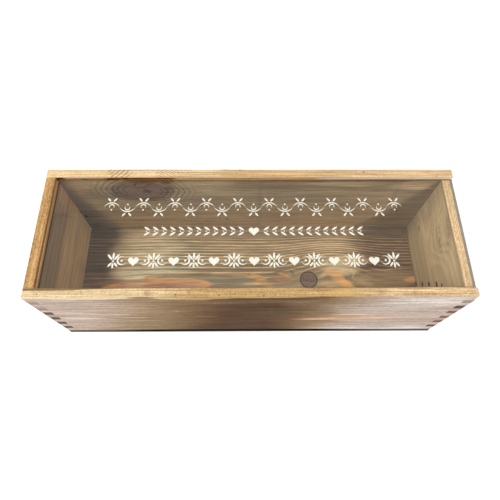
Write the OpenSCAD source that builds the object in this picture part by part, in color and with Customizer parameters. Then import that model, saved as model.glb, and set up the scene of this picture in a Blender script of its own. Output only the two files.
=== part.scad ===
// One-bottle wine box in pine: finger-jointed walls, a nailed base and a clear lid that slides in a groove.
// X runs along the box, Y across it from front to back, Z is up.
// The origin is the centre of the underside. The lid slides out of the right end, along +X.

/* [Box] */
// Length over the end boards
box_length = 350; // [240:1:480]
// Width over the front and back boards
box_width = 116; // [90:1:220]
// Height of the walls above the base board
wall_height = 99; // [70:1:180]

/* [Boards] */
// Thickness of the front and back boards
side_thickness = 8; // [6:0.5:14]
// Thickness of the two end boards
end_thickness = 8; // [6:0.5:14]
// Thickness of the base board
base_thickness = 7; // [4:0.5:12]

/* [Corner joints] */
// Fingers at each corner, counted over both boards
finger_count = 13; // [7:2:17]
// Glue line left around each finger
glue_gap = 0.04; // [0.02:0.01:0.1]

/* [Groove] */
// Wood left above the groove
lip_height = 2.8; // [2:0.1:4]
// Depth of the groove in the boards
groove_depth = 4; // [2:0.5:5]

/* [Lid] */
// Thickness of the clear sheet
lid_thickness = 3; // [2:0.5:4]
// Play above the sheet, and again below it
lid_play = 0.1; // [0.05:0.05:0.3]
// Play between the sheet's edges and the bottom of the groove
lid_edge_play = 0.3; // [0.1:0.1:0.8]

/* [Base brads] */
// Shank diameter of a brad
brad_diameter = 1.4; // [1:0.1:2]
// Length of a brad from the top of its head to its point
brad_length = 20; // [16:1:30]
// Diameter of a brad's head
brad_head_diameter = 2.6; // [2.2:0.1:3.6]
// Thickness of a brad's head
brad_head_thickness = 0.6; // [0.4:0.1:1]
// Depth of the heads below the underside
brad_recess = 0.4; // [0.2:0.1:1]
// Gap around a brad in its hole
brad_gap = 0.03; // [0.02:0.01:0.1]
// Brads along each long side
side_brad_count = 6; // [3:1:10]
// Brads along each end
end_brad_count = 2; // [2:1:4]
// Distance from the box's corners to the first brads
brad_inset = 28; // [20:1:40]

/* [Print on the lid] */
// Thickness of the white print
print_thickness = 0.06; // [0.04:0.01:0.2]
// Heaviest stroke of the print
stroke = 1.0; // [0.6:0.1:1.4]
// Distance of the scroll band behind the lid's middle
scroll_band_y = 22.5; // [20:0.5:26]
// Distance of the heart band in front of the lid's middle
heart_band_y = 26.5; // [24:0.5:30]
// Arches in the scroll band
arch_count = 19; // [5:2:25]
// Width of one arch
arch_span = 13.2; // [10:0.2:14]
// Leaf pairs on each side of the middle band
leaf_pair_count = 12; // [3:1:16]
// Distance from one leaf pair to the next
leaf_pair_pitch = 7; // [6:0.2:8]
// Hearts in the heart band
heart_count = 7; // [1:2:7]
// Distance from one heart to the next
heart_pitch = 32; // [30:0.5:36]

/* [Hidden] */
$fn = 48;

// How far a cutter runs past the face that it opens
past = 1;

box_top = base_thickness + wall_height;
half_length = box_length / 2;
half_width = box_width / 2;
inner_half_length = half_length - end_thickness;
inner_half_width = half_width - side_thickness;

finger_pitch = wall_height / finger_count;

groove_top = box_top - lip_height;
groove_bottom = groove_top - lid_thickness - 2 * lid_play;
groove_half_width = inner_half_width + groove_depth;
groove_left = -inner_half_length - groove_depth;

lid_left = groove_left + lid_edge_play;
lid_half_width = groove_half_width - lid_edge_play;
lid_bottom = groove_bottom + lid_play;
lid_top = lid_bottom + lid_thickness;
lid_middle = (lid_left + half_length) / 2;

brad_top = brad_recess + brad_length;
// Length of the taper at the point, and the flat left at its end
brad_point = 2 * brad_diameter;
brad_tip = 0.3;
// Steps between neighbouring brads along a long side and along an end
side_brad_step = (box_length - 2 * brad_inset) / (side_brad_count - 1);
end_brad_step = (box_width - 2 * brad_inset) / (end_brad_count - 1);

// Centre lines of the walls, where the brads go in
side_line = half_width - side_thickness / 2;
end_line = half_length - end_thickness / 2;

// Scroll band: the arch, the curl and bud under it, and the leaves above it
arch_rise = 4.6;
curl_span = 2.2;
curl_rise = 4.2;
curl_drop = 1.2;
bud_drop = 2.6;
bud_radius = 0.7;
arch_leaf = [4.6, 1.5];
arch_leaf_place = [1.1, 5.2];
arch_leaf_turn = 52;

// Leaf band: a pair of leaves and the dot between them
pair_leaf = [6, 1.8];
pair_leaf_turn = 34;
pair_dot_place = 4;
pair_dot_radius = 0.55;

// Heart band: the hearts, the scrolls beside them and the leaf fans between
heart_size = 8.6;
scroll_span = 3;
scroll_rise = 7.4;
scroll_place = [9.2, 0.4];
scroll_turn = -110;
scroll_dot_radius = 0.9;
fan_leaf = [6.6, 1.8];
fan_low_leaf = [5.2, 1.6];
fan_turn = 38;
fan_dot_radius = 0.8;
// Gap between a leaf's stalk and the point that it springs from
stalk_gap = 1.2;

pine_light = [0.62, 0.47, 0.31];
pine_brown = [0.47, 0.35, 0.24];
pine_dark = [0.36, 0.26, 0.18];
lid_clear = [0.85, 0.90, 0.90, 0.35];

// ---- Walls ----

// Block from one corner to the opposite one
module block(low, high) {
    translate(low)
        cube(high - low);
}

// The space that the lid slides in: a groove on three sides, open at the right end
module groove() {
    block([groove_left, -groove_half_width, groove_bottom],
          [half_length + past, groove_half_width, groove_top]);
}

// Every second finger up a corner, from the first one that the end boards own
module finger_rows() {
    for (i = [1 : 2 : finger_count - 1])
        translate([0, 0, base_thickness + i * finger_pitch])
            children();
}

// Notches at both ends of a long board, for the end boards' fingers
module finger_notches() {
    depth = end_thickness + glue_gap;
    for (side = [-1, 1])
        finger_rows()
            translate([side * half_length - depth, -half_width - past, 0])
                cube([2 * depth, side_thickness + 2 * past, finger_pitch]);
}

// Front board: full length, with the top and bottom finger at each corner
module long_board() {
    difference() {
        block([-half_length, -half_width, base_thickness],
              [half_length, -inner_half_width, box_top]);
        finger_notches();
        groove();
        brad_holes();
    }
}

// End board at the right: its fingers reach through both long boards
module end_board(top) {
    difference() {
        union() {
            block([inner_half_length, -inner_half_width + glue_gap, base_thickness],
                  [half_length, inner_half_width - glue_gap, top]);
            finger_rows()
                block([inner_half_length, -half_width, glue_gap],
                      [half_length, half_width, finger_pitch - glue_gap]);
        }
        brad_holes();
    }
}

module front_board() {
    color(pine_brown)
        long_board();
}

module back_board() {
    color(pine_light)
        mirror([0, 1, 0])
            long_board();
}

module left_end_board() {
    color(pine_brown)
        difference() {
            mirror([1, 0, 0])
                end_board(box_top);
            groove();
        }
}

// The lid passes over this board, so it ends at the bottom of the groove
module right_end_board() {
    color(pine_light)
        end_board(groove_bottom);
}

// ---- Base ----

module base_board() {
    color(pine_dark)
        difference() {
            block([-half_length, -half_width, 0], [half_length, half_width, base_thickness]);
            brad_holes();
        }
}

// Places a child at every brad: along both long sides, then along both ends
module at_brads() {
    for (y = [-side_line, side_line])
        for (i = [0 : side_brad_count - 1])
            translate([-half_length + brad_inset + i * side_brad_step, y, 0])
                children();
    for (x = [-end_line, end_line])
        for (i = [0 : end_brad_count - 1])
            translate([x, -half_width + brad_inset + i * end_brad_step, 0])
                children();
}

// One brad, head down; grow widens it all round, for its hole
module brad(bottom, grow) {
    head_end = brad_recess + brad_head_thickness;
    translate([0, 0, bottom])
        cylinder(h = head_end + grow - bottom, d = brad_head_diameter + 2 * grow);
    translate([0, 0, brad_recess])
        cylinder(h = brad_top - brad_point - brad_recess, d = brad_diameter + 2 * grow);
    translate([0, 0, brad_top - brad_point])
        cylinder(h = brad_point + grow, d1 = brad_diameter + 2 * grow, d2 = brad_tip + 2 * grow);
}

module brad_holes() {
    at_brads()
        brad(-past, brad_gap);
}

module base_brads() {
    color("silver")
        at_brads()
            brad(brad_recess, 0);
}

// ---- Lid ----

module sliding_lid() {
    color(lid_clear)
        block([lid_left, -lid_half_width, lid_bottom], [half_length, lid_half_width, lid_top]);
}

// ---- Print on the lid: plain scroll, leaf and heart ornament ----

// Arched stroke over its span, thinning out at both ends
module bow(span, rise, weight) {
    inner_rise = rise - weight;
    outer_radius = (span * span / 4 + rise * rise) / (2 * rise);
    inner_radius = (span * span / 4 + inner_rise * inner_rise) / (2 * inner_rise);
    difference() {
        translate([0, rise - outer_radius])
            circle(outer_radius);
        translate([0, inner_rise - inner_radius])
            circle(inner_radius);
    }
}

// Pointed leaf of a length and width, from near the origin along +X
module leaf(size) {
    radius = (size[0] * size[0] + size[1] * size[1]) / (4 * size[1]);
    intersection_for (side = [-1, 1])
        translate([stalk_gap + size[0] / 2, side * (radius - size[1] / 2)])
            circle(radius);
}

// Heart with its point down and its middle at the origin
module heart(size) {
    polygon([for (t = [0 : 12 : 348])
        size / 32 * [16 * pow(sin(t), 3),
                     13 * cos(t) - 5 * cos(2 * t) - 2 * cos(3 * t) - cos(4 * t)]]);
}

// One arch of the scroll band
module arch() {
    bow(arch_span, arch_rise, stroke);
    translate([0, -curl_drop])
        bow(curl_span, curl_rise, stroke);
    translate([0, -bud_drop])
        circle(bud_radius);
    for (side = [0, 1])
        mirror([side, 0])
            translate(arch_leaf_place)
                rotate(arch_leaf_turn)
                    translate([-stalk_gap, 0])
                        leaf(arch_leaf);
}

module scroll_band() {
    for (i = [0 : arch_count - 1])
        translate([(i - (arch_count - 1) / 2) * arch_span, 0])
            mirror([0, i % 2])
                arch();
}

// Leaf pairs that run out from a heart in the middle
module leaf_band() {
    heart(heart_size);
    for (side = [0, 1])
        mirror([side, 0])
            for (i = [1 : leaf_pair_count])
                translate([i * leaf_pair_pitch, 0]) {
                    for (turn = [-pair_leaf_turn, pair_leaf_turn])
                        rotate(turn)
                            leaf(pair_leaf);
                    translate([pair_dot_place, 0])
                        circle(pair_dot_radius);
                }
}

// Three leaves that fan out along +Y
module leaf_fan(size) {
    for (turn = [-fan_turn, 0, fan_turn])
        rotate(90 + turn)
            leaf(size);
}

// Scroll round a dot, open towards the leaf fan beside it
module scroll() {
    scroll_radius = (scroll_span * scroll_span / 4 + scroll_rise * scroll_rise) / (2 * scroll_rise);
    rotate(scroll_turn)
        translate([0, scroll_radius - scroll_rise])
            bow(scroll_span, scroll_rise, 1.3 * stroke);
    circle(scroll_dot_radius);
}

// Hearts between scrolls, with a leaf fan before the first one and after each
module heart_band() {
    for (i = [0 : heart_count - 1])
        translate([(i - (heart_count - 1) / 2) * heart_pitch, 0]) {
            heart(heart_size);
            for (side = [0, 1])
                mirror([side, 0])
                    translate(scroll_place)
                        scroll();
        }
    for (i = [0 : heart_count])
        translate([(i - heart_count / 2) * heart_pitch, 0]) {
            circle(fan_dot_radius);
            leaf_fan(fan_leaf);
            mirror([0, 1])
                leaf_fan(fan_low_leaf);
        }
}

module lid_print() {
    color("white")
        translate([lid_middle, 0, lid_top])
            linear_extrude(print_thickness) {
                translate([0, scroll_band_y])
                    scroll_band();
                leaf_band();
                translate([0, -heart_band_y])
                    heart_band();
            }
}

front_board();
back_board();
left_end_board();
right_end_board();
base_board();
base_brads();
sliding_lid();
lid_print();
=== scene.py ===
import math

import bmesh
import bpy
from mathutils import Matrix, Vector


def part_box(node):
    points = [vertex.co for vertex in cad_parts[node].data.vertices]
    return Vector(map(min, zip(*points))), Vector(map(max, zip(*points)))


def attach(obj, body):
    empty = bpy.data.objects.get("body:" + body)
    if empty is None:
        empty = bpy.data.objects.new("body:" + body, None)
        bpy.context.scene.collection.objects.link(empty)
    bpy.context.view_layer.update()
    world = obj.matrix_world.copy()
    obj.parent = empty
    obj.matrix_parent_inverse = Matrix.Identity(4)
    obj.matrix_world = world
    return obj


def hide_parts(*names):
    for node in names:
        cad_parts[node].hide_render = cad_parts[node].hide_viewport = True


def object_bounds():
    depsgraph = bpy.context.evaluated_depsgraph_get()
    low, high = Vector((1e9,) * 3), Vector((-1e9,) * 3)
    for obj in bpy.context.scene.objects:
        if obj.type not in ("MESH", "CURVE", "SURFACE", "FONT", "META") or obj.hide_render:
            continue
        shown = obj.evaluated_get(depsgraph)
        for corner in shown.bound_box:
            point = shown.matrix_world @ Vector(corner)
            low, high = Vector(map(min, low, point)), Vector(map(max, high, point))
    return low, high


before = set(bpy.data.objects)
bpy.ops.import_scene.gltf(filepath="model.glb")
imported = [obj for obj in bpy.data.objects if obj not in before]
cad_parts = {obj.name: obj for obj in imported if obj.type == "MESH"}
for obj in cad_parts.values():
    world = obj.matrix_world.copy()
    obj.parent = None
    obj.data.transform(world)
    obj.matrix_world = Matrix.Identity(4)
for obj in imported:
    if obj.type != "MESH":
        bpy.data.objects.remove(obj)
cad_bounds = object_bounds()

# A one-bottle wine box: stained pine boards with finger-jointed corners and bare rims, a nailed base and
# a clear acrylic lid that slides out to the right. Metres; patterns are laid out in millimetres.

MM = 1000.0

# ---- Sizes, from the frame ----

highest = cad_bounds[1]
lid_low, lid_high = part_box("sliding_lid")
base_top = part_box("base_board")[1].z
right_board_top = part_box("right_end_board")[1].z

# In millimetres from here on.
RIM = highest.z * MM
RIGHT_RIM = right_board_top * MM
FLOOR = base_top * MM
HALF_LENGTH = highest.x * MM
HALF_WIDTH = highest.y * MM
WALL = 8.0
INSIDE_X = HALF_LENGTH - WALL
INSIDE_Y = HALF_WIDTH - WALL
FINGER_COUNT = 13
FINGER = (RIM - FLOOR) / FINGER_COUNT
GROOVE_DEPTH = 4.0
LID_PLAY = 0.1
GROOVE_BOTTOM = lid_low.z * MM - LID_PLAY
GROOVE_TOP = lid_high.z * MM + LID_PLAY

# How far past a face its own tone still reaches: for a plain face, in the groove and on a rim.
SKIN = 0.15
GROOVE_SKIN = 0.2
RIM_SKIN = 0.25


def tone(red, green, blue):
    """A colour as it looks on a screen, from 0 to 255, as the linear values that a shader takes."""
    def linear(level):
        level /= 255
        return level / 12.92 if level <= 0.04045 else ((level + 0.055) / 1.055) ** 2.4
    return (linear(red), linear(green), linear(blue), 1.0)


# ---- Node materials ----

class Nodes:
    """A node tree in the making. Each call adds a node and gives the socket that it puts out."""

    def __init__(self, tree):
        self.tree = tree

    def add(self, kind, inputs=(), **settings):
        node = self.tree.nodes.new("ShaderNode" + kind)
        for key, value in settings.items():
            setattr(node, key, value)
        for key, value in dict(inputs).items():
            if isinstance(value, bpy.types.NodeSocket):
                self.tree.links.new(value, node.inputs[key])
            else:
                node.inputs[key].default_value = value
        return node

    def math(self, operation, *values):
        return self.add("Math", enumerate(values), operation=operation).outputs[0]

    def chain(self, operation, values):
        total = values[0]
        for value in values[1:]:
            total = self.math(operation, total, value)
        return total

    def plus(self, *values):
        return self.chain("ADD", values)

    def times(self, *values):
        return self.chain("MULTIPLY", values)

    def most(self, *values):
        return self.chain("MAXIMUM", values)

    def least(self, *values):
        return self.chain("MINIMUM", values)

    def minus(self, value, taken):
        return self.math("SUBTRACT", value, taken)

    def over(self, value, divisor):
        return self.math("DIVIDE", value, divisor)

    def above(self, value, level):
        return self.math("GREATER_THAN", value, level)

    def below(self, value, level):
        return self.math("LESS_THAN", value, level)

    def between(self, value, low, high):
        return self.times(self.above(value, low), self.below(value, high))

    def unsigned(self, value):
        return self.math("ABSOLUTE", value)

    def fraction(self, value):
        return self.math("FRACT", value)

    def step(self, value, start, end, low=0.0, high=1.0):
        """Runs smoothly from low, where value is start, to high, where it is end."""
        inputs = {"Value": value, "From Min": start, "From Max": end, "To Min": low, "To Max": high}
        return self.add("MapRange", inputs, interpolation_type="SMOOTHSTEP").outputs[0]

    def ridge(self, value, middle, reach):
        """1 where value is middle, falling to 0 at reach on either side."""
        return self.step(self.unsigned(self.minus(value, middle)), reach, 0.0)

    def vector(self, x, y, z):
        return self.add("CombineXYZ", {0: x, 1: y, 2: z}).outputs[0]

    def split(self, vector):
        return self.add("SeparateXYZ", {0: vector}).outputs

    def stretch(self, vector, scale, shift=(0.0, 0.0, 0.0)):
        return self.add("Mapping", {"Vector": vector, "Scale": scale, "Location": shift}).outputs[0]

    def noise(self, vector, scale, detail=2.0, roughness=0.5, distortion=0.0, shift=0.0):
        """Cloudy pattern around 0.5, with its own scale along each way."""
        place = self.stretch(vector, scale, (shift, shift * 0.7, shift * 1.3))
        inputs = {"Vector": place, "Scale": 1.0, "Detail": detail, "Roughness": roughness,
                  "Distortion": distortion}
        return self.add("TexNoise", inputs).outputs[0]

    def blend(self, factor, first, second, mode="MIX"):
        inputs = {0: factor, 6: first, 7: second}
        return self.add("Mix", inputs, data_type="RGBA", blend_type=mode).outputs[2]

    def oval(self, vector, middle, reach, turn=0.0):
        """Distance from middle in shares of the reach along and across, turned by turn degrees."""
        place = self.add("Mapping", {"Vector": vector, "Location": (middle[0], middle[1], 0.0),
                                     "Rotation": (0.0, 0.0, math.radians(turn)),
                                     "Scale": (reach[0], reach[1], 1e6)}, vector_type="TEXTURE").outputs[0]
        return self.add("VectorMath", {0: place}, operation="LENGTH").outputs["Value"]

    def spot(self, vector, middle, reach, edge=0.5, turn=0.0):
        """An oval patch: 1 inside, fading to 0 over the outer share that edge gives."""
        return self.step(self.oval(vector, middle, reach, turn), 1.0, 1.0 - edge)

    def hill(self, vector, middle, reach):
        """A round hill of height 1 that falls away softly on all sides."""
        scale = (1.0 / reach[0], 1.0 / reach[1], 0.0)
        shift = (-middle[0] / reach[0], -middle[1] / reach[1], 0.0)
        place = self.stretch(vector, scale, shift)
        square = self.add("VectorMath", {0: place, 1: place}, operation="DOT_PRODUCT").outputs["Value"]
        return self.math("EXPONENT", self.times(square, -1.0))


class Finish(Nodes):
    """A material of nodes. They read the piece's Object coordinates."""

    def __init__(self, name):
        self.material = bpy.data.materials.new(name)
        self.material.use_nodes = True
        super().__init__(self.material.node_tree)
        self.tree.nodes.clear()

    def finish(self, colour, roughness, bump=None, depth=0.0002, **constants):
        """Closes the material with a Principled shader."""
        inputs = {"Base Color": colour, "Roughness": roughness}
        inputs.update({key.replace("_", " "): value for key, value in constants.items()})
        if bump is not None:
            raised = self.add("Bump", {"Height": bump, "Distance": depth, "Strength": 1.0})
            inputs["Normal"] = raised.outputs[0]
        shader = self.add("BsdfPrincipled", inputs)
        self.add("OutputMaterial", {"Surface": shader.outputs[0]})
        return self.material


# ---- Materials of the boards ----

RIM_PALE = tone(238, 211, 164)
RIM_HONEY = tone(202, 166, 113)
RIM_TAN = tone(202, 158, 104)
RIM_BROWN = tone(150, 104, 58)
RAW_PINE = tone(236, 204, 158)
FINGER_END = tone(80, 62, 54)
FINGER_RED = tone(132, 88, 76)
FINGER_PALE = tone(204, 182, 164)
# The base edge is a dark stain painted near black as contact shade; the next tone is painted light towards
# the ends.
BASE_EDGE = tone(12, 9, 7)
BASE_EDGE_LIT = tone(112, 104, 98)


def board_space(f, order):
    """The Object coordinates in millimetres: x, y and z, and the vector (along, across, through)."""
    place = f.add("TexCoord").outputs["Object"]
    place = f.add("VectorMath", {0: place, "Scale": MM}, operation="SCALE").outputs[0]
    box = f.split(place)
    return box, f.vector(*(box["XYZ".index(axis)] for axis in order))


def warped(f, board, size, shift, seed):
    """The board's coordinates pushed about, so that patches laid out on them get ragged outlines."""
    push = f.add("TexNoise", {"Vector": f.stretch(board, (size, size * 3.0, size), (seed, 0.0, 0.0)),
                              "Scale": 1.0, "Detail": 3.0, "Roughness": 0.6}).outputs["Color"]
    push = f.add("VectorMath", {0: push, 1: (0.5, 0.5, 0.5)}, operation="SUBTRACT").outputs[0]
    push = f.add("VectorMath", {0: push, 1: (2.0 * shift[0], 2.0 * shift[1], 0.0)},
                 operation="MULTIPLY").outputs[0]
    return f.add("VectorMath", {0: board, 1: push}, operation="ADD").outputs[0]


def growth_rings(f, board, pith, pitch, wander, hills=(), seed=0.0):
    """Phase of the growth rings, from 0 in the spring wood to 1 at the end of the summer wood.

    The rings lie round the pith line, given across and through the board. They wander along the board,
    and each hill (middle, reach, height) bends them round a knot."""
    _, across, through = f.split(board)
    broad = f.noise(board, (0.007, 0.022, 0.022), 2.0, shift=seed)
    close = f.noise(board, (0.022, 0.11, 0.11), 3.0, 0.6, shift=seed + 3.0)
    across = f.plus(across, f.times(f.minus(broad, 0.5), 2.0 * wander),
                    f.times(f.minus(close, 0.5), 0.35 * wander))
    span = f.vector(f.minus(across, pith[0]), f.minus(through, pith[1]), 0.0)
    radius = f.add("VectorMath", {0: span}, operation="LENGTH").outputs["Value"]
    for middle, reach, height in hills:
        radius = f.plus(radius, f.times(f.hill(board, middle, reach), height))
    uneven = f.add("TexNoise", {"W": f.times(radius, 0.09), "Scale": 1.0, "Detail": 1.0},
                   noise_dimensions="1D").outputs[0]
    radius = f.plus(radius, f.times(uneven, 1.6 * pitch))
    return f.fraction(f.over(radius, pitch))


def summer_wood(f, phase, start=0.45, full=0.8):
    """The hard line of each ring: it comes up slowly and ends sharply."""
    return f.times(f.step(phase, start, full), f.step(phase, 0.97, 0.9))


def brushed(f, board, seed=0.0):
    """Fibres along the grain, as brushing leaves them, from fine to coarse."""
    fine = f.noise(board, (0.03, 0.55, 0.55), 5.0, 0.75, shift=seed)
    coarse = f.noise(board, (0.012, 0.2, 0.2), 3.0, 0.6, shift=seed + 7.0)
    return f.plus(f.times(fine, 0.7), f.times(coarse, 0.3))


def shade(f, colour, pattern, depth):
    """Darkens and lightens a colour by a pattern around 0.5, a little warmer where it is darker."""
    swing = f.minus(pattern, 0.5)
    gain = f.add("VectorMath", {0: swing, 1: (3.6 * depth, 4.0 * depth, 4.4 * depth), 2: (1.0, 1.0, 1.0)},
                 operation="MULTIPLY_ADD").outputs[0]
    return f.blend(1.0, colour, gain, "MULTIPLY")


def patches(f, colour, place, rows):
    """Lays oval stains over a colour. Each row is middle, reach, turn, soft edge, strength, tone."""
    for middle, reach, turn, edge, strength, stain in rows:
        colour = f.blend(f.times(f.spot(place, middle, reach, edge, turn), strength), colour, stain)
    return colour


def sawn(f, board, colour, seed, specks=0.5, grit=0.5):
    """Grain of bare pine on a sawn rim: fine lines, saw grit and brown pores."""
    lines = f.noise(board, (0.012, 0.9, 0.9), 3.0, 0.8, shift=seed)
    rough = f.noise(board, (0.8, 0.9, 0.9), 2.0, 0.9, shift=seed + 5.0)
    colour = shade(f, colour, lines, 0.7)
    colour = shade(f, colour, rough, 0.65 * grit)
    pores = f.noise(board, (0.5, 0.8, 0.8), 2.0, 0.9, shift=seed + 9.0)
    return f.blend(f.times(f.step(pores, 0.58, 0.72), specks, 0.6), colour, RIM_BROWN)


def in_groove(f, depth, inside, z):
    """1 on the faces of the lid's groove in a board that starts at inside, 0 elsewhere."""
    deep = f.between(depth, inside + SKIN, inside + GROOVE_DEPTH + 0.3)
    return f.times(deep, f.between(z, GROOVE_BOTTOM - GROOVE_SKIN, GROOVE_TOP + GROOVE_SKIN))


def side_board_edges(f, colour, box, board, seed, groove_tone=RAW_PINE):
    """The lid groove and the darker finger ends of a front or back board."""
    x, y, z = box
    groove = in_groove(f, f.unsigned(y), INSIDE_Y, z)
    colour = f.blend(groove, colour, sawn(f, board, groove_tone, seed, 0.3))
    out = f.unsigned(x)
    chips = f.step(f.noise(board, (0.4, 0.5, 0.4), 3.0, 0.7, shift=seed + 2.0), 0.56, 0.66)
    chips = f.times(chips, f.step(out, 162.0, 173.0), f.step(z, 103.0, 101.0, 0.0, 0.5))
    colour = f.blend(chips, colour, tone(148, 108, 88))
    ends = f.above(out, HALF_LENGTH - SKIN)
    colour = f.blend(f.times(ends, 0.6), colour, FINGER_END)
    tip = f.times(f.step(x, HALF_LENGTH - 3.0, HALF_LENGTH - 1.0),
                  f.above(z, RIM - FINGER + GROOVE_SKIN), f.below(y, 0.0))
    return f.blend(f.times(tip, 0.8), colour, sawn(f, board, tone(232, 208, 178), seed + 6.0, 0.2))


def on_rim(f, z, rim=RIM):
    """1 on the sawn upper face of a board, 0 elsewhere."""
    return f.above(z, rim - RIM_SKIN)


def brushed_wood(f, colour, fibres, smoothest=0.6, dullest=0.8, gloss=0.12):
    """Closes a board's material: its fibres are raised, and shine a little more than the wood between."""
    roughness = f.step(fibres, 0.3, 0.7, dullest, smoothest)
    return f.finish(colour, roughness, fibres, 0.0003, Specular_IOR_Level=gloss)


def front_rim(f, box, board):
    """The front board's rim: pale at the left, honey in the middle, with dirt, seams, pin holes and a
    painted shade line along its inner edge.
    """
    x, y, _ = box
    rim = f.blend(f.step(x, -95.0, -35.0), RIM_PALE, RIM_HONEY)
    rim = f.blend(f.step(x, 55.0, 120.0), rim, tone(230, 197, 152))
    sandy = f.times(f.step(x, -110.0, -70.0), f.step(x, 90.0, 60.0))
    rim = sawn(f, board, rim, 11.0, f.plus(0.2, f.times(sandy, 0.4)), 0.6)
    seams = f.noise(board, (0.02, 0.9, 0.9), 2.0, 0.6, shift=17.0)
    seams = f.times(f.step(seams, 0.54, 0.64), f.step(x, 50.0, 90.0, 0.15, 0.55))
    rim = f.blend(seams, rim, tone(176, 126, 72))
    rim = patches(f, rim, f.vector(x, y, 0.0), (
        ((-80, -54), (5, 3.6), 0, 0.8, 0.45, RIM_BROWN),
        ((-48, -54), (1.2, 2.5), 0, 0.8, 0.5, RIM_BROWN),
        ((70, -54), (18, 7), 0, 0.9, 0.5, tone(232, 188, 122)),
        ((99, -54), (7, 3.6), 0, 0.8, 0.3, RIM_BROWN),
        ((126, -54), (3, 3.0), 0, 0.8, 0.25, RIM_BROWN),
        ((-58, -55.5), (1.0, 0.8), 0, 0.6, 0.9, tone(110, 74, 40)),
        ((-25, -56), (0.9, 0.8), 0, 0.6, 0.9, tone(110, 74, 40)),
        ((9, -56.6), (0.9, 0.7), 0, 0.6, 0.9, tone(110, 74, 40)),
        ((-163.5, -54.6), (0.9, 0.6), 0, 0.6, 0.9, tone(70, 48, 34))))
    # Painted shade: a dark line along the rim's inner arris, wider at the left end.
    inner_edge = f.plus(y, f.step(x, -90.0, -168.0, 0.0, 1.7))
    return f.blend(f.step(inner_edge, -50.5, -50.1, 0.0, 0.85), rim, tone(122, 96, 62))


def front_bare(f, box, board):
    """Where the front board's bare rim shows, and where it shows on the outer face.

    It ends in a ragged line. In places it runs down over the outer edge, as far as down says, and in others
    the stain comes over the edge and inwards, as far as over says."""
    x, y, z = box
    worn = f.noise(board, (0.04, 0.1, 0.1), 4.0, 0.65, shift=13.0)
    length = f.vector(x, 0.0, 0.0)
    down = f.plus(f.times(f.hill(length, (-124.0, 0.0), (25.0, 1.0)), 3.4),
                  f.times(f.hill(length, (-48.0, 0.0), (22.0, 1.0)), 5.0), 0.8)
    over = f.plus(f.hill(length, (-84.0, 0.0), (13.0, 1.0)), f.step(x, 0.0, 70.0, 0.0, 0.9),
                  f.step(x, 100.0, 125.0, 0.0, -0.4))
    edge = f.minus(RIM - 0.2, f.times(f.step(worn, 0.25, 0.6, 0.6, 1.1), down))
    outside = f.times(f.below(y, -HALF_WIDTH + 0.6), f.step(over, 0.9, 0.3))
    inward = f.plus(y, HALF_WIDTH, f.times(over, -1.0), f.times(f.minus(worn, 0.5), 1.4))
    top = f.times(on_rim(f, z), f.step(inward, -0.3, 0.3))
    bare = f.most(top, f.times(f.step(f.minus(z, edge), -0.5, 0.5), outside))
    return bare, outside


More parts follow.
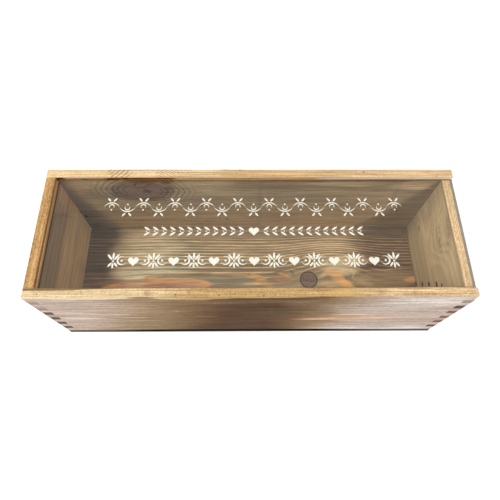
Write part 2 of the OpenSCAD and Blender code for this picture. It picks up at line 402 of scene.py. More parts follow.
def front_pine():
    """Front board: pale and pinkish towards the ends, dark brown in the middle, a painted reflection over
    the brown stain.
    """
    f = Finish("front_pine")
    box, board = board_space(f, "XZY")
    x, _, z = box
    fibres = brushed(f, board, 4.0)
    clouds = f.noise(board, (0.012, 0.03, 0.03), 4.0, 0.6, shift=1.0)
    # Painted reflection on the stain: out grows from the dark middle of the board towards both ends, and
    # the face is painted paler the further out it goes.
    lean = f.times(f.minus(z, 50.0), -0.35)
    out = f.plus(x, lean, f.times(f.minus(clouds, 0.5), 60.0))
    to_left = f.minus(-8.0, out)
    to_right = f.minus(out, 14.0)
    out = f.most(f.times(to_left, 0.9), f.times(to_right, 1.5))
    colour = f.blend(f.step(out, 5.0, 70.0), tone(88, 58, 29), tone(144, 112, 74))
    colour = f.blend(f.step(out, 38.0, 96.0), colour, tone(184, 155, 122))
    colour = f.blend(f.step(out, 75.0, 135.0), colour, tone(218, 196, 180))
    place = warped(f, board, 0.03, (14.0, 3.0), 3.0)
    colour = patches(f, colour, place, (
        ((22, 62), (32, 22), 0, 0.9, 0.4, tone(104, 92, 66)),
        ((58, 62), (22, 14), 0, 0.9, 0.4, tone(120, 96, 68)),
        ((-95, 34), (60, 26), 0, 0.9, 0.35, tone(172, 152, 116)),
        # Painted reflection: the five pale, pinkish-white patches from here on, at the right end.
        ((118, 16), (60, 12), 0, 0.9, 0.5, tone(226, 208, 198)),
        ((108, 11), (62, 5), 0, 0.8, 0.7, tone(242, 228, 222)),
        ((100, 80), (50, 30), 0, 0.9, 0.8, tone(226, 206, 192)),
        ((140, 90), (56, 20), 0, 0.9, 0.8, tone(250, 236, 226)),
        ((146, 102), (44, 12), 0, 0.8, 0.9, tone(255, 246, 238)),
        ((46, 92), (34, 14), 0, 0.9, 0.35, tone(176, 150, 118)),
        ((0, 95), (150, 8), 0, 0.9, 0.4, tone(160, 130, 96)),
        ((-10, 103), (84, 4), 0, 0.8, 0.5, tone(104, 72, 44))))
    # Rings, grit and the brushed lines that caught more or less of the stain.
    phase = growth_rings(f, board, (50.0, -95.0), 3.4, 3.0, seed=2.0)
    colour = f.blend(f.times(summer_wood(f, phase), 0.16), colour, tone(96, 72, 54))
    grit = f.noise(board, (0.22, 0.5, 0.5), 4.0, 0.8, shift=6.0)
    colour = shade(f, colour, grit, 0.3)
    colour = patches(f, colour, board, (
        ((-125, 61), (34, 1.3), 0, 0.6, 0.7, tone(244, 222, 200)),
        ((-146, 48.5), (26, 2.0), 0, 0.5, 0.95, tone(255, 238, 216)),
        ((-104, 50.6), (20, 1.3), 0, 0.5, 0.8, tone(236, 206, 174)),
        ((-40, 53), (15, 1.2), 0, 0.6, 0.6, tone(180, 142, 106)),
        ((96, 57.5), (34, 1.3), 0, 0.6, 0.7, tone(248, 222, 200)),
        ((94, 62.5), (32, 1.2), 0, 0.6, 0.6, tone(236, 204, 180)),
        ((88, 72), (28, 0.9), 0, 0.7, 0.6, tone(246, 220, 200)),
        ((104, 82), (30, 0.9), 0, 0.7, 0.5, tone(146, 118, 102)),
        ((118, 30), (30, 1.0), 0, 0.7, 0.5, tone(160, 134, 124)),
        ((-122, 78), (30, 0.9), 0, 0.7, 0.5, tone(146, 118, 98)),
        ((-100, 40), (30, 1.0), 0, 0.7, 0.5, tone(236, 212, 186)),
        ((-20, 35), (26, 0.7), 0, 0.8, 0.4, tone(90, 66, 46)),
        ((-140, 27), (18, 0.7), 0, 0.8, 0.5, tone(150, 128, 112)),
        ((-62, 68.5), (2.4, 1.6), 0, 0.8, 0.7, tone(208, 180, 150))))
    # The orange flame in the right half, and a painted highlight along the lower edge at the right.
    flame = f.times(f.spot(place, (84, 44.5), (56, 6.0), 0.5, 3.0), f.step(fibres, 0.38, 0.5, 0.4, 1.0))
    colour = f.blend(f.times(flame, 0.9), colour, tone(248, 196, 154))
    colour = patches(f, colour, place, (((106, 46.0), (22, 4.5), 3, 0.5, 0.9, tone(255, 220, 180)),))
    colour = patches(f, colour, f.vector(x, z, 0.0), (
        ((132, 8.2), (48, 1.6), 0, 0.6, 0.9, tone(255, 250, 246)),
        ((150, 12), (32, 8), 0, 0.8, 0.7, tone(255, 244, 238))))
    colour = shade(f, colour, fibres, 0.52)
    streaks = f.noise(board, (0.014, 0.42, 0.42), 4.0, 0.7, shift=9.0)
    pale = f.step(out, 45.0, 90.0)
    colour = f.blend(pale, colour, shade(f, colour, streaks, 0.4))
    rim = front_rim(f, box, board)
    bare, outside = front_bare(f, box, board)
    rim = f.blend(f.times(outside, f.step(x, -50.0, -110.0), 0.7), rim, tone(255, 240, 205))
    colour = f.blend(bare, colour, rim)
    colour = side_board_edges(f, colour, box, board, 15.0)
    return brushed_wood(f, colour, fibres)


def big_knot(f, colour, board):
    """The back board's wide knot: rings swell round it, and a darker heart with cracks lies inside."""
    knot_hill = ((-97, 90), (38, 26), 17.0)
    phase = growth_rings(f, board, (42.0, 112.0), 2.9, 2.6, (knot_hill,), seed=22.0)
    rings = f.times(summer_wood(f, phase), 0.16)
    colour = f.blend(rings, colour, tone(112, 88, 68))
    near = warped(f, board, 0.05, (6.0, 2.5), 28.0)
    colour = patches(f, colour, near, (
        ((-99, 82), (32, 21), 0, 0.3, 0.75, tone(122, 94, 74)),
        ((-97, 84), (24, 14), 0, 0.5, 0.75, tone(150, 114, 96)),
        ((-93, 83), (6, 5), 0, 0.8, 0.6, tone(84, 70, 62)),
        ((-72, 87), (8, 9), 0, 0.7, 0.6, tone(104, 82, 66)),
        ((-74, 97), (9, 4), 0, 0.7, 0.7, tone(104, 72, 44)),
        ((-124, 77), (5, 10), 0, 0.8, 0.5, tone(108, 86, 70)),
        ((-92, 100), (19, 6.5), 0, 0.7, 0.8, tone(156, 86, 54)),
        ((-158, 101), (9, 3), 0, 0.8, 0.5, tone(176, 110, 84)),
        ((130, 100), (11, 5), 0, 0.8, 0.5, tone(190, 132, 110)),
        ((-23, 29), (1.3, 4), 0, 0.7, 0.7, tone(80, 58, 42))))
    round_knot = f.oval(warped(f, board, 0.04, (2.6, 2.0), 29.0), (-97, 83), (27, 18))
    lines = f.ridge(f.fraction(f.times(round_knot, 5.5)), 0.5, 0.3)
    fading = f.times(f.step(round_knot, 0.3, 0.8), f.step(round_knot, 2.1, 1.1))
    colour = f.blend(f.times(lines, fading, 0.6), colour, tone(84, 66, 56))
    return patches(f, colour, board, (
        ((-98, 88), (11, 1.1), 8, 0.8, 0.8, tone(60, 44, 38)),
        ((-93, 82), (1.3, 8), 24, 0.8, 0.7, tone(60, 44, 38)),
        ((-102, 93), (1.2, 6), -30, 0.8, 0.7, tone(60, 44, 38)),
        ((-90, 93), (8, 1.0), 35, 0.8, 0.6, tone(70, 52, 44))))


def back_lip(f, x, board):
    """The lip over the back board's groove: torn and reddish over the knot, pale at the right."""
    flecks = f.noise(board, (0.2, 0.5, 0.5), 3.0, 0.8, shift=27.0)
    lip = f.blend(f.step(x, -118.0, -128.0), tone(150, 112, 80), tone(206, 172, 146))
    lip = f.blend(f.step(x, -72.0, -62.0), lip, tone(224, 184, 138))
    lip = f.blend(f.step(x, 50.0, 74.0), lip, tone(255, 238, 220))
    lip = f.blend(f.step(x, -157.0, -163.0), lip, tone(92, 64, 40))
    torn = f.times(f.step(x, -60.0, -72.0), f.step(x, -132.0, -122.0))
    lip = f.blend(f.times(f.step(flecks, 0.47, 0.55), torn), lip, tone(66, 40, 26))
    return f.blend(f.times(f.spot(board, (-82, 104), (14, 8), 0.6), 0.6), lip, tone(160, 86, 56))


def back_ledge(f, x, board):
    """The ledge in the back board's groove: dark and marked at the left, raw in the middle."""
    ledge = f.blend(f.step(x, -74.0, -58.0), tone(150, 104, 72), tone(190, 152, 118))
    ledge = f.blend(f.step(x, 92.0, 120.0), ledge, tone(164, 130, 100))
    marks = f.noise(board, (0.06, 0.3, 0.3), 3.0, 0.7, shift=37.0)
    return f.blend(f.times(f.step(marks, 0.5, 0.62), f.step(x, -20.0, -90.0)), ledge, tone(72, 44, 30))


def back_rim(f, x, y, board):
    """The back board's rim, with two fans of slanted lines where the knot's grain runs out."""
    rim = f.blend(f.step(x, -130.0, -70.0), tone(242, 210, 160), tone(240, 211, 162))
    rim = f.blend(f.step(x, -50.0, -10.0), rim, tone(220, 184, 133))
    rim = f.blend(f.step(x, 60.0, 110.0), rim, tone(238, 201, 153))
    sway = f.times(f.noise(board, (0.05, 0.2, 0.2), 2.0, shift=33.0), 1.6)
    top = f.vector(x, y, 0.0)
    for slope, pitch, middle, reach, strength in ((1.8, 4.0, (-64, 54), (26, 12), 0.55),
                                                  (-0.9, 4.2, (-113, 54), (13, 12), 0.75)):
        lines = f.fraction(f.plus(f.times(x, 1.0 / pitch), f.times(y, slope / pitch), sway))
        lines = f.times(f.ridge(lines, 0.5, 0.35), f.spot(top, middle, reach, 0.5), strength)
        rim = f.blend(lines, rim, tone(168, 116, 64))
    rim = sawn(f, board, rim, 31.0, 0.3, 0.4)
    return patches(f, rim, top, (
        ((98, 55.4), (2.0, 1.0), -20, 0.6, 0.8, RIM_BROWN),
        ((161, 51.3), (0.8, 0.8), 0, 0.6, 0.9, tone(70, 48, 34)),
        ((-22, 58), (5, 0.7), 0, 0.5, 0.9, tone(92, 74, 58)),
        ((-9, 58), (2.2, 0.9), 0, 0.5, 0.9, tone(92, 74, 58)),
        ((-88, 58), (44, 0.7), 0, 0.4, 0.75, tone(116, 94, 72)),
        ((-84, 54), (3, 3), 0, 0.8, 0.5, tone(255, 236, 196))))


def back_pine():
    """Back board: grey khaki inside, with a wide ringed knot near its left end."""
    f = Finish("back_pine")
    box, board = board_space(f, "XZY")
    x, y, z = box
    fibres = brushed(f, board, 24.0)
    clouds = f.noise(board, (0.008, 0.04, 0.04), 4.0, 0.6, shift=21.0)
    colour = f.blend(f.step(clouds, 0.35, 0.65), tone(184, 156, 120), tone(210, 182, 140))
    colour = f.blend(f.step(z, 60.0, 20.0), colour, tone(200, 168, 124))
    place = warped(f, board, 0.02, (16.0, 5.0), 26.0)
    colour = patches(f, colour, place, (
        ((-40, 88), (40, 20), 0, 0.9, 0.6, tone(228, 200, 156)),
        ((46, 89), (92, 7), 0, 0.7, 0.6, tone(156, 130, 98)),
        ((60, 102), (120, 4.5), 0, 0.9, 0.7, tone(150, 116, 86)),
        # Painted shade: darker at both ends of the board, this row and the next.
        ((-166, 20), (24, 60), 0, 0.9, 0.7, tone(118, 100, 88)),
        ((150, 60), (26, 50), 0, 0.9, 0.4, tone(152, 132, 112)),
        ((-38, 97), (36, 8), 0, 0.7, 0.7, tone(236, 206, 160)),
        ((84, 95), (46, 8), 0, 0.8, 0.8, tone(230, 200, 153)),
        ((146, 91), (26, 9), 0, 0.7, 0.8, tone(244, 208, 166)),
        ((-152, 88), (12, 15), 0, 0.8, 0.6, tone(232, 190, 146)),
        ((30, 72), (110, 5.0), 0, 0.9, 0.55, tone(162, 140, 112))))
    colour = big_knot(f, colour, board)
    # Painted shade: darker along the foot of the board, where it meets the floor.
    colour = f.blend(f.step(z, FLOOR + 5.0, FLOOR + 0.5, 0.0, 0.6), colour, tone(110, 90, 72))
    # Inside: painted shadows in both corners, a pin hole at the left, and two faint upright bands.
    inner = f.below(y, INSIDE_Y + SKIN)
    reach = f.least(f.plus(f.times(z, 0.82), 98.5), f.plus(f.times(z, 0.55), 111.0))
    right_corner_shadow = f.minus(x, reach)
    colour = f.blend(f.times(f.step(right_corner_shadow, -4.0, 3.0), inner, 0.5), colour, tone(132, 110, 86))
    left_corner_shadow = f.minus(f.plus(-133.0, f.times(z, -0.33)), x)
    colour = f.blend(f.times(f.step(left_corner_shadow, -9.0, 7.0), inner, 0.55), colour, tone(108, 90, 76))
    hole = f.spot(board, (-164.0, 34.5), (1.9, 3.0), 0.4)
    colour = f.blend(f.times(hole, inner), colour, tone(26, 18, 14))
    colour = patches(f, colour, board, (
        ((8.5, 60), (3.5, 70), 0, 0.9, 0.2, tone(110, 90, 70)),
        ((133, 60), (3.0, 70), 0, 0.9, 0.2, tone(110, 90, 70))))
    # The groove: a painted shadow line under its ledge, and the lip above it, torn and reddish over the
    # knot.
    under = f.times(inner, f.step(z, GROOVE_BOTTOM - 1.6, GROOVE_BOTTOM - 0.6),
                    f.step(x, -125.0, -100.0, 0.3, 0.85), f.step(x, 120.0, 145.0, 1.0, 0.6))
    colour = f.blend(under, colour, tone(84, 58, 34))
    on_lip = f.times(inner, f.above(z, GROOVE_TOP - GROOVE_SKIN))
    colour = f.blend(on_lip, colour, back_lip(f, x, board))
    colour = shade(f, colour, fibres, 0.6)
    colour = f.blend(on_rim(f, z), colour, back_rim(f, x, y, board))
    colour = side_board_edges(f, colour, box, board, 35.0, back_ledge(f, x, board))
    return brushed_wood(f, colour, fibres)


def end_board_edges(f, colour, box, board, seed, faint_above, reddish=0.0):
    """Raw pine in the lid groove, with painted shade deep in the left board's groove, and dark end grain on
    the fingers of an end board, faint near the top.
    """
    x, y, z = box
    groove = in_groove(f, f.times(x, -1.0), INSIDE_X, z)
    # Painted shade: in the left board the groove is brown where it runs deep under the lip, and pale raw
    # pine only at its mouth.
    raw = f.blend(f.step(x, -168.2, -167.7), tone(160, 112, 66), tone(255, 220, 176))
    colour = f.blend(groove, colour, sawn(f, board, raw, seed, 0.3))
    ends = f.above(f.unsigned(y), HALF_WIDTH - SKIN)
    worn = f.noise(board, (0.3, 0.3, 0.3), 3.0, 0.6, shift=seed + 3.0)
    height = f.fraction(f.over(f.minus(z, FLOOR + FINGER), 2.0 * FINGER))
    faint = f.above(z, faint_above)
    colour = f.blend(ends, colour, FINGER_PALE)
    strength = f.step(height, 0.5, 0.1, 0.85, 1.0)
    strength = f.times(strength, f.minus(1.0, f.times(faint, f.step(height, 0.04, 0.18, 0.2, 0.8))))
    grain = f.blend(f.times(f.step(z, 24.0, 30.0), f.step(z, 75.0, 68.0), reddish), FINGER_END, FINGER_RED)
    broken = f.noise(board, (0.5, 0.4, 0.5), 3.0, 0.8, shift=seed + 4.0)
    strength = f.times(strength, f.step(broken, 0.3, 0.42, 0.4, 1.0))
    return f.blend(f.times(ends, strength), colour, shade(f, grain, worn, 0.9))


def left_pine():
    """Left end board: brown-grey inside, with a speckled tan rim."""
    f = Finish("left_pine")
    box, board = board_space(f, "YZX")
    x, y, z = box
    fibres = brushed(f, board, 44.0)
    clouds = f.noise(board, (0.02, 0.04, 0.04), 3.0, 0.6, shift=41.0)
    colour = f.blend(f.step(clouds, 0.35, 0.65), tone(212, 175, 127), tone(224, 185, 135))
    # Painted light and shade: lighter low down, darker towards the top.
    colour = f.blend(f.step(z, 44.0, 24.0, 0.0, 0.6), colour, tone(232, 193, 144))
    colour = f.blend(f.times(f.step(z, 54.0, 78.0), 0.8), colour, tone(162, 134, 104))
    place = warped(f, board, 0.03, (4.0, 4.0), 43.0)
    # Painted light: a redder, lighter wedge by the back corner, edged by the dark diagonal line in the
    # first patch below.
    lit_wedge = f.minus(y, f.plus(25.0, f.times(f.minus(85.0, z), 0.5)))
    inner = f.above(x, -INSIDE_X - SKIN)
    colour = f.blend(f.times(f.step(lit_wedge, -1.0, 6.0), inner, 0.7), colour, tone(206, 162, 120))
    colour = patches(f, colour, place, (
        ((30, 72), (1.6, 24), 27, 0.8, 0.4, tone(126, 98, 76)),
        ((38, 86), (14, 1.2), 0, 0.8, 0.5, tone(120, 90, 70)),
        ((-20, 68), (14, 1.2), 0, 0.8, 0.4, tone(124, 104, 88))))
    phase = growth_rings(f, board, (55.0, -215.0), 3.2, 3.0, seed=42.0)
    colour = f.blend(f.times(summer_wood(f, phase), 0.2), colour, tone(110, 88, 70))
    streaks = f.times(f.ridge(phase, 0.15, 0.12), f.spot(board, (4, 50), (44, 22), 0.7))
    colour = f.blend(f.times(streaks, 0.7), colour, tone(240, 206, 158))
    # Painted shade: darker along the foot of the board, where it meets the floor.
    colour = f.blend(f.step(z, FLOOR + 3.0, FLOOR + 0.5, 0.0, 0.4), colour, tone(96, 78, 64))
    # Painted light: a lighter patch inside the same wedge.
    colour = patches(f, colour, board, (((46, 84), (16, 24), 0, 0.9, 0.6, tone(222, 176, 130)),))
    # Under the groove: a painted shadow line, and the worn arris above it.
    groove_shadow = f.times(f.step(z, 94.2, 95.8), f.step(z, 98.3, 97.6))
    colour = f.blend(f.times(groove_shadow, inner, 0.8), colour, tone(98, 70, 42))
    colour = f.blend(f.times(f.step(z, 97.7, 98.4), inner), colour, tone(240, 194, 140))
    colour = shade(f, colour, fibres, 0.5)
    lip = f.times(f.above(z, GROOVE_TOP - GROOVE_SKIN), inner)
    colour = f.blend(lip, colour, tone(202, 142, 74))
    rim = sawn(f, board, RIM_TAN, 51.0, 0.35, 0.5)
    # Painted shade: a darker band along the rim's inner edge, over the groove.
    rim = f.blend(f.times(f.step(x, -168.8, -167.2), 0.55), rim, tone(132, 90, 50))
    cork = f.noise(board, (1.0, 1.2, 1.2), 1.0, 0.5, shift=53.0)
    rim = f.blend(f.step(cork, 0.46, 0.34, 0.0, 0.6), rim, tone(136, 94, 52))
    rim = f.blend(f.step(cork, 0.54, 0.66, 0.0, 0.5), rim, tone(236, 196, 140))
    colour = f.blend(on_rim(f, z), colour, rim)
    colour = end_board_edges(f, colour, box, board, 55.0, 70.0)
    return brushed_wood(f, colour, fibres)


def right_pine():
    """Right end board: khaki tan, with flames round two small eyes."""
    f = Finish("right_pine")
    box, board = board_space(f, "YZX")
    x, y, z = box
    fibres = brushed(f, board, 64.0)
    clouds = f.noise(board, (0.02, 0.04, 0.04), 3.0, 0.6, shift=61.0)
    colour = f.blend(f.step(clouds, 0.35, 0.65), tone(242, 210, 163), tone(234, 202, 154))
    colour = f.blend(f.times(f.step(z, 50.0, 30.0), 0.7), colour, tone(206, 177, 134))
    # Painted shadow: darker towards the back corner.
    colour = f.blend(f.times(f.step(y, 26.0, 48.0), 0.6), colour, tone(170, 147, 112))
    hills = (((5, 73), (16, 20), 9.0), ((22, 78), (9, 14), 5.0), ((33, 40), (8, 8), 3.0))
    phase = growth_rings(f, board, (60.0, 230.0), 3.2, 6.0, hills, seed=62.0)
    colour = f.blend(f.times(summer_wood(f, phase, 0.1, 0.75), 0.2), colour, tone(150, 122, 86))
    place = warped(f, board, 0.04, (4.0, 3.0), 66.0)
    colour = patches(f, colour, place, (
        ((4, 74), (8, 1.6), 12, 0.9, 0.5, tone(134, 108, 78)),
        ((-2, 90), (10, 1.8), 24, 0.9, 0.4, tone(142, 116, 86)),
        ((14, 80), (6, 1.6), 30, 0.9, 0.35, tone(148, 120, 90)),
        ((36, 62), (8, 16), 0, 0.9, 0.3, tone(160, 132, 100)),
        ((50, 14), (12, 30), 0, 0.9, 0.6, tone(150, 124, 94)),
        ((8, 95), (16, 4), 4, 0.8, 0.4, tone(160, 134, 102))))
    for middle, reach, turn, strength in (((5, 74), (12, 5.0), 10, 0.6), ((1, 91), (14, 5.5), 22, 0.45),
                                          ((24, 66), (10, 4.0), 6, 0.4)):
        swirl = f.oval(place, middle, reach, turn)
        rings = f.times(f.ridge(f.fraction(f.times(swirl, 2.5)), 0.5, 0.4), f.step(swirl, 1.4, 0.8))
        colour = f.blend(f.times(rings, strength), colour, tone(140, 112, 80))
    # Short dark nicks on the inner face.
    inner = f.below(x, INSIDE_X + SKIN)
    for middle, reach in (((34.5, 38.3), (4.2, 0.9)), ((-13.5, 9), (3.4, 2.0)), ((-19, 23.5), (3.6, 2.2)),
                          ((-24, 38), (3.4, 2.4)), ((-30, 53.5), (4.2, 2.4)), ((-34, 63), (2.2, 1.8))):
        colour = f.blend(f.times(f.spot(board, middle, reach, 0.4), inner, 0.9), colour, tone(66, 36, 12))
    # Painted shade: darker along the foot of the board, where it meets the floor.
    colour = f.blend(f.step(z, FLOOR + 4.0, FLOOR + 0.5, 0.0, 0.5), colour, tone(120, 92, 66))
    colour = f.blend(f.times(f.step(z, 96.8, 98.6), inner, 0.5), colour, tone(146, 114, 78))
    colour = shade(f, colour, fibres, 0.32)
    rim = sawn(f, board, tone(246, 202, 152), 71.0, 0.2, 0.8)
    ragged = f.noise(board, (0.1, 0.3, 0.3), 3.0, 0.7, shift=73.0)
    bleed = f.plus(x, f.times(f.minus(ragged, 0.5), 1.6))
    rim = f.blend(f.step(bleed, 173.4, 174.0), rim, tone(160, 142, 122))
    rim = f.blend(f.step(x, 168.0, 167.3, 0.0, 0.3), rim, tone(120, 88, 56))
    colour = f.blend(on_rim(f, z, RIGHT_RIM), colour, rim)
    colour = end_board_edges(f, colour, box, board, 75.0, 87.0, 1.0)
    return brushed_wood(f, colour, fibres)


def gold_lines(f, colour, board, place, bounds, grain):
    """The base board's gold grain lines, which fade out where plain patches lie, brighten under the painted
    light left of the middle, and darken in the painted shadows at both ends.
    """
    y, east, west = bounds
    clouds, fibres = grain
    swell = ((86, 10), (38, 28), -9.0)
    phase = growth_rings(f, board, (-30.0, -38.0), 2.7, 2.2, (swell,), seed=82.0)
    plain = f.most(f.spot(place, (-48, -8), (60, 8), 0.2), f.spot(place, (-92, -14), (60, 8.5), 0.2),
                   f.spot(place, (72, -9), (64, 14), 0.3), f.spot(place, (140, -9), (48, 12), 0.3))
    plain = f.most(plain, f.step(y, 36.0, 43.0))
    quiet = f.plus(1.0, f.times(plain, -0.85))
    gold = f.times(summer_wood(f, phase, 0.6, 0.8), f.step(clouds, 0.3, 0.5, 0.7, 1.0),
                   f.step(fibres, 0.38, 0.52, 0.5, 1.0), quiet)
    lit = f.times(f.spot(board, (-88, 16), (62, 46), 0.5), quiet)
    gaps = f.times(f.ridge(phase, 0.4, 0.24), f.plus(0.22, f.times(lit, 0.38)),
                   f.step(west, -148.0, -122.0))
    colour = f.blend(gaps, colour, tone(128, 98, 68))
    line_tone = f.blend(lit, tone(255, 216, 160), tone(255, 236, 186))
    # Painted shadow: the lines are dimmer at the west end, most at the front, and at the east end.
    dark_line = f.blend(f.step(y, 6.0, -4.0), tone(142, 116, 90), tone(176, 144, 108))
    line_tone = f.blend(f.step(west, -122.0, -148.0), line_tone, dark_line)
    line_tone = f.blend(f.step(east, 92.0, 114.0), line_tone, tone(206, 168, 124))
    return f.blend(gold, colour, line_tone)


def flames(f, colour, place):
    """Orange flames and small scars on the base board."""
    return patches(f, colour, place, (
        ((-140, -11), (34, 4.0), 3, 0.6, 0.7, tone(176, 122, 92)),
        ((-92, -14), (60, 8.5), 2, 0.15, 0.95, tone(250, 178, 116)),
        ((-92, -15.9), (58, 7.4), 2, 0.3, 0.85, tone(222, 164, 126)),
        ((-116, -12), (20, 5.5), 0, 0.8, 0.8, tone(255, 204, 156)),
        ((-124, -10), (26, 2.4), 6, 0.8, 0.5, tone(150, 112, 96)),
        ((14, -8), (15, 3.4), -34, 0.4, 0.85, tone(222, 166, 110)),
        ((8, -3), (12, 2.2), -16, 0.5, 0.8, tone(232, 172, 110)),
        ((36, -3), (15, 2.0), -24, 0.6, 0.8, tone(222, 164, 108)),
        ((31, -6.5), (12, 3.6), -8, 0.6, 0.85, tone(206, 144, 108)),
        ((28, 1), (9, 1.6), 20, 0.6, 0.5, tone(108, 80, 58)),
        ((42, 0), (10, 1.2), -34, 0.6, 0.5, tone(108, 80, 58)),
        ((76, -2), (9, 3.0), 40, 0.6, 0.7, tone(236, 190, 136)),
        ((92, -7), (21, 6.4), -36, 0.5, 0.95, tone(240, 184, 124)),
        ((98, -11), (14, 4.0), -34, 0.6, 0.95, tone(255, 186, 110)),
        ((104, -2), (10, 1.0), -52, 0.6, 0.5, tone(250, 206, 146)),
        ((166, -9), (10, 5), 0, 0.5, 0.95, tone(250, 186, 120)),
        ((138, 2.5), (34, 0.9), 3, 0.6, 0.8, tone(236, 184, 120))))


def round_knot(f, colour, board):
    """The base board's round knot, dark at its edge."""
    rounded = f.oval(board, (59.4, -8), (8.6, 8.8))
    colour = f.blend(f.step(rounded, 1.09, 1.0, 0.0, 0.95), colour, tone(76, 54, 44))
    core = f.noise(board, (0.12, 0.3, 0.3), 3.0, 0.6, shift=89.0)
    knot = f.blend(core, tone(122, 92, 78), tone(160, 130, 108))
    rings = f.fraction(f.times(f.plus(rounded, f.times(core, 0.3)), 3.5))
    knot = f.blend(f.times(f.ridge(rings, 0.7, 0.3), 0.3), knot, tone(96, 70, 56))
    return f.blend(f.step(rounded, 0.96, 0.86), colour, knot)


def base_sides(f, colour, box, fibres):
    """The base board's narrow sides: dark in front, as painted contact shade over a dark stain, lighter
    towards both ends as painted light, with a painted highlight along the top at the right.
    """
    x, y, z = box
    side = f.most(f.above(f.unsigned(y), HALF_WIDTH - SKIN),
                  f.above(f.unsigned(x), HALF_LENGTH - SKIN))
    # Painted light on the front edge: lighter towards both ends; glint is a painted highlight along its top
    # at the right.
    edge = f.blend(f.step(x, 60.0, 160.0, 0.0, 0.9), BASE_EDGE, BASE_EDGE_LIT)
    edge = f.blend(f.step(x, -90.0, -165.0), edge, tone(132, 116, 104))
    glint = f.times(f.step(z, FLOOR - 2.0, FLOOR - 1.0), f.step(x, 60.0, 110.0))
    edge = f.blend(glint, edge, tone(236, 220, 210))
    edge = f.blend(f.below(y, SKIN - HALF_WIDTH), tone(74, 58, 44), edge)
    return f.blend(side, colour, shade(f, edge, fibres, 0.7))


def base_pine():
    """Base board: grey-brown with gold grain lines, a round knot and orange flames."""
    f = Finish("base_pine")
    box, board = board_space(f, "XYZ")
    y = box["Y"]
    fibres = brushed(f, board, 84.0)
    clouds = f.noise(board, (0.01, 0.04, 0.04), 4.0, 0.6, shift=81.0)
    colour = f.blend(f.step(clouds, 0.35, 0.65), tone(168, 140, 106), tone(186, 158, 120))
    place = warped(f, board, 0.02, (14.0, 2.6), 86.0)
    # Painted shadows darken both ends, where the end boards shade the floor: east and west run along the
    # board, and their bounds lean towards the back.
    along = f.split(place)[0]
    east = f.minus(along, f.step(y, 34.0, 48.0, 0.0, 14.0))
    west = f.minus(along, f.step(y, 24.0, 44.0, 0.0, 5.0))
    west_tone = f.blend(f.step(y, 8.0, -6.0), tone(108, 86, 65), tone(128, 102, 78))
    colour = f.blend(f.step(west, -128.0, -150.0), colour, west_tone)
    colour = f.blend(f.step(east, 92.0, 116.0), colour, tone(130, 104, 75))
    # Painted shadow in the back right corner.
    corner = f.times(f.step(y, 40.0, 48.0), f.step(along, 110.0, 130.0), 0.5)
    colour = f.blend(corner, colour, tone(104, 84, 62))
    colour = patches(f, colour, place, (
        ((-102, 24), (42, 34), 0, 0.7, 0.9, tone(242, 210, 166)),
        ((-114, -2), (36, 11), 0, 0.7, 0.9, tone(255, 232, 188)),
        ((-88, -1), (38, 8), 0, 0.7, 0.9, tone(255, 238, 196)),
        ((95, 11), (36, 10), 5, 0.7, 0.9, tone(240, 214, 166)),
        ((94, 1), (22, 6), 0, 0.7, 0.8, tone(238, 210, 164)),
        # Painted shade along the back wall: this row and the one at (60, 46).
        ((30, 41), (90, 9), 0, 0.7, 0.75, tone(146, 122, 95)),
        ((148, 0), (30, 5), 0, 0.8, 0.6, tone(170, 142, 108)),
        ((82, -12), (20, 5), 0, 0.7, 0.7, tone(226, 184, 134)),
        ((30, -6), (26, 10), 0, 0.8, 0.5, tone(160, 126, 98)),
        ((60, 46), (150, 8), 0, 0.9, 0.5, tone(150, 122, 94)),
        ((136, -9), (44, 12), 0, 0.5, 0.95, tone(190, 158, 114)),
        ((-48, -8), (60, 8), 0, 0.15, 0.75, tone(164, 146, 116))))
    colour = gold_lines(f, colour, board, place, (y, east, west), (clouds, fibres))
    colour = flames(f, colour, place)
    outline = f.ridge(f.oval(place, (-48, -8), (60, 7.6)), 1.0, 0.13)
    colour = f.blend(f.times(outline, f.above(y, -12.0), 0.9), colour, tone(236, 170, 108))
    colour = round_knot(f, colour, board)
    colour = shade(f, colour, fibres, 0.7)
    colour = base_sides(f, colour, box, fibres)
    return brushed_wood(f, colour, fibres, 0.7, 0.9, 0.03)


# ---- Materials of the lid and the brads ----

def clear_acrylic():
    """Clear sheet: bends and mirrors what is seen through it, and lets the light into the box."""
    f = Finish("clear_acrylic")
    place = f.add("TexCoord").outputs["Object"]
    smears = f.noise(place, (9.0, 14.0, 9.0), 3.0, 0.6)
    body = f.blend(f.step(smears, 0.4, 0.7), tone(247, 250, 249), tone(250, 251, 251))
    glass = f.add("BsdfGlass", {"Color": body, "IOR": 1.49, "Roughness": 0.0})
    clear = f.add("BsdfTransparent", {"Color": (0.985, 0.988, 0.986, 1.0)})
    path = f.add("LightPath").outputs
    lit = f.most(path["Is Shadow Ray"], path["Is Diffuse Ray"])
    surface = f.add("MixShader", {0: lit, 1: glass.outputs[0], 2: clear.outputs[0]})
    f.add("OutputMaterial", {"Surface": surface.outputs[0]})
    return f.material


def white_ink():
    """Screen print: satin white, a little thin in places."""
    f = Finish("white_ink")
    place = f.add("TexCoord").outputs["Object"]
    thin = f.noise(place, (900.0, 900.0, 900.0), 3.0, 0.6)
    colour = f.blend(f.step(thin, 0.3, 0.6), tone(252, 246, 228), tone(255, 252, 236))
    return f.finish(colour, 0.45, thin, 0.00002)


def bright_wire():
    """Brad steel with drawing marks along the wire."""
    f = Finish("bright_wire")
    place = f.add("TexCoord").outputs["Object"]
    marks = f.noise(place, (2500.0, 2500.0, 120.0), 3.0, 0.6)
    colour = f.blend(marks, tone(150, 148, 144), tone(196, 195, 192))
    return f.finish(colour, f.step(marks, 0.2, 0.8, 0.5, 0.3), marks, 0.00002, Metallic=1.0)


# ---- Pieces ----

EASE = 0.00025
WORN_TIP = 0.0022

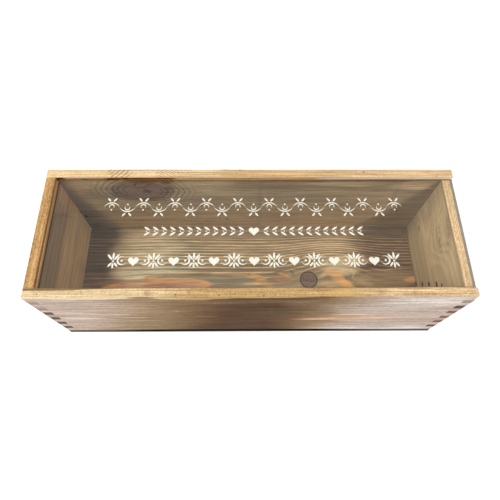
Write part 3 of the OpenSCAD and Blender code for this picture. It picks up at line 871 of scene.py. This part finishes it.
# An edge of the worn tip lies above TIP_FOOT, within TOUCH of the board's end, and is over UPRIGHT high.
TIP_FOOT = 0.0983
TOUCH = 0.0001
UPRIGHT = 0.0025


def round_off(solid, edges, offset, segments):
    """Rounds these edges of a board."""
    bmesh.ops.bevel(solid, geom=edges, offset=offset, offset_type="OFFSET", segments=segments, profile=0.5,
                    affect="EDGES", clamp_overlap=True, material=-1)


def at_right_tip(edge):
    """Whether this is an upright edge at the right-hand end of the front board's top finger."""
    first, second = (vert.co for vert in edge.verts)
    at_end = min(first.x, second.x) > highest.x - TOUCH
    in_finger = min(first.z, second.z) > TIP_FOOT
    return at_end and in_finger and abs(first.z - second.z) > UPRIGHT


def eased_board(node, name, finish):
    """A board with its arrises eased, in the place of its CAD node. The front board's tip is worn round."""
    solid = bmesh.new()
    solid.from_mesh(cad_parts[node].data)
    bmesh.ops.remove_doubles(solid, verts=solid.verts, dist=1e-6)
    bmesh.ops.dissolve_limit(solid, angle_limit=math.radians(0.5), verts=solid.verts, edges=solid.edges)
    if node == "front_board":
        round_off(solid, [edge for edge in solid.edges if at_right_tip(edge)], WORN_TIP, 4)
    sharp = [edge for edge in solid.edges if edge.calc_face_angle(0.0) > math.radians(50)]
    round_off(solid, sharp, EASE, 2)
    mesh = bpy.data.meshes.new(name)
    solid.to_mesh(mesh)
    solid.free()
    mesh.materials.append(finish)
    board = bpy.data.objects.new(name, mesh)
    bpy.context.scene.collection.objects.link(board)
    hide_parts(node)
    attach(board, "box")
    return board


def dress(node, finish):
    """Gives a CAD node its finish."""
    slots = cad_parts[node].data.materials
    slots.clear()
    slots.append(finish)


eased_board("front_board", "front_wall", front_pine())
eased_board("back_board", "back_wall", back_pine())
eased_board("left_end_board", "left_wall", left_pine())
eased_board("right_end_board", "right_wall", right_pine())
eased_board("base_board", "floor_board", base_pine())
dress("sliding_lid", clear_acrylic())
dress("lid_print", white_ink())
dress("base_brads", bright_wire())


# ---- Camera ----

# Place in metres, turns in radians and lens in millimetres.
CAMERA_PLACE = (-0.00555, -0.16053, 0.42715)
CAMERA_YAW = 0.03087
CAMERA_PITCH = 1.15372
CAMERA_ROLL = 0.02604
CAMERA_LENS = 31.71


def set_camera():
    """Camera high in front of the box, looking down at 66 degrees."""
    data = bpy.data.cameras.new("camera")
    data.lens = CAMERA_LENS
    data.sensor_width = 36.0
    camera = bpy.data.objects.new("camera", data)
    turn = (Matrix.Rotation(-CAMERA_YAW, 4, "Z") @ Matrix.Rotation(math.pi / 2 - CAMERA_PITCH, 4, "X")
            @ Matrix.Rotation(CAMERA_ROLL, 4, "Z"))
    camera.matrix_world = Matrix.Translation(CAMERA_PLACE) @ turn
    bpy.context.scene.collection.objects.link(camera)
    bpy.context.scene.camera = camera


# ---- Light and floor ----

BOX_MIDDLE = (0.0, 0.0, 0.05)
DAYLIGHT = 0.25
FLOOR_REACH = 4.0
FLOOR_DROP = 0.0002


def soft_lamp(name, place, size, watts):
    """Square lamp that faces the middle of the box and leaves no square shine on the lid."""
    data = bpy.data.lights.new(name, "AREA")
    data.size = size
    data.energy = watts
    lamp = bpy.data.objects.new(name, data)
    lamp.location = place
    lamp.rotation_euler = (Vector(BOX_MIDDLE) - Vector(place)).to_track_quat("-Z", "Y").to_euler()
    lamp.visible_glossy = False
    lamp.visible_transmission = False
    bpy.context.scene.collection.objects.link(lamp)


def set_world(daylight):
    """White surroundings under a dim ceiling: daylight on the box, and plain white behind it."""
    world = bpy.data.worlds.new("studio")
    bpy.context.scene.world = world
    world.use_nodes = True
    w = Nodes(world.node_tree)
    path = w.add("LightPath").outputs
    height = w.split(w.add("TexCoord").outputs["Generated"])["Z"]
    below_ceiling = w.add("MapRange", {"Value": height, "From Min": 0.7, "From Max": 0.3}).outputs[0]
    seen = w.most(path["Is Camera Ray"], path["Is Transmission Ray"])
    white = w.most(seen, w.times(path["Is Glossy Ray"], below_ceiling))
    strength = w.add("MapRange", {"Value": white, "To Min": daylight, "To Max": 1.0}).outputs[0]
    sky = world.node_tree.nodes["Background"].inputs
    sky["Color"].default_value = (1.0, 1.0, 1.0, 1.0)
    world.node_tree.links.new(strength, sky["Strength"])


def lay_floor():
    """Pale floor, lifted to white for the camera, with the shadow kept. Right at the foot of the box it is
    dark, a painted contact shadow.
    """
    f = Finish("pale_floor")
    path = f.add("LightPath").outputs
    seen = f.most(path["Is Camera Ray"], path["Is Glossy Ray"], path["Is Transmission Ray"])
    place = f.add("TexCoord").outputs["Object"]
    distance = f.add("VectorMath", {0: place}, operation="LENGTH").outputs["Value"]
    far = f.step(distance, 0.35, 1.6, 0.4, 0.85)
    x, y, _ = f.split(f.add("VectorMath", {0: place}, operation="ABSOLUTE").outputs[0])
    gap = f.most(f.minus(x, highest.x), f.minus(y, highest.y))
    # Painted contact shadow: the floor is darkened and not lifted within a millimetre of the box.
    clear_of_contact_shadow = f.step(gap, 0.0004, 0.0009)
    paint = f.add("BsdfDiffuse", {"Color": f.plus(f.times(clear_of_contact_shadow, 0.7), 0.2)})
    lift = f.add("Emission", {"Color": (1.0, 1.0, 1.0, 1.0), "Strength": f.times(seen, far, clear_of_contact_shadow)})
    surface = f.add("AddShader", {0: paint.outputs[0], 1: lift.outputs[0]})
    f.add("OutputMaterial", {"Surface": surface.outputs[0]})
    sheet = bmesh.new()
    bmesh.ops.create_grid(sheet, x_segments=1, y_segments=1, size=FLOOR_REACH)
    mesh = bpy.data.meshes.new("floor")
    sheet.to_mesh(mesh)
    sheet.free()
    mesh.materials.append(f.material)
    floor = bpy.data.objects.new("floor", mesh)
    floor.location.z = -FLOOR_DROP
    bpy.context.scene.collection.objects.link(floor)


set_camera()
set_world(DAYLIGHT)
lay_floor()
soft_lamp("left_lamp", (-0.50, -0.5, 1.5), 0.26, 7.1)
soft_lamp("right_lamp", (0.88, -0.45, 1.5), 0.2, 9.1)
soft_lamp("low_left_lamp", (-1.2, -0.4, 0.9), 0.9, 11.1)
bpy.context.scene.view_settings.view_transform = "Standard"
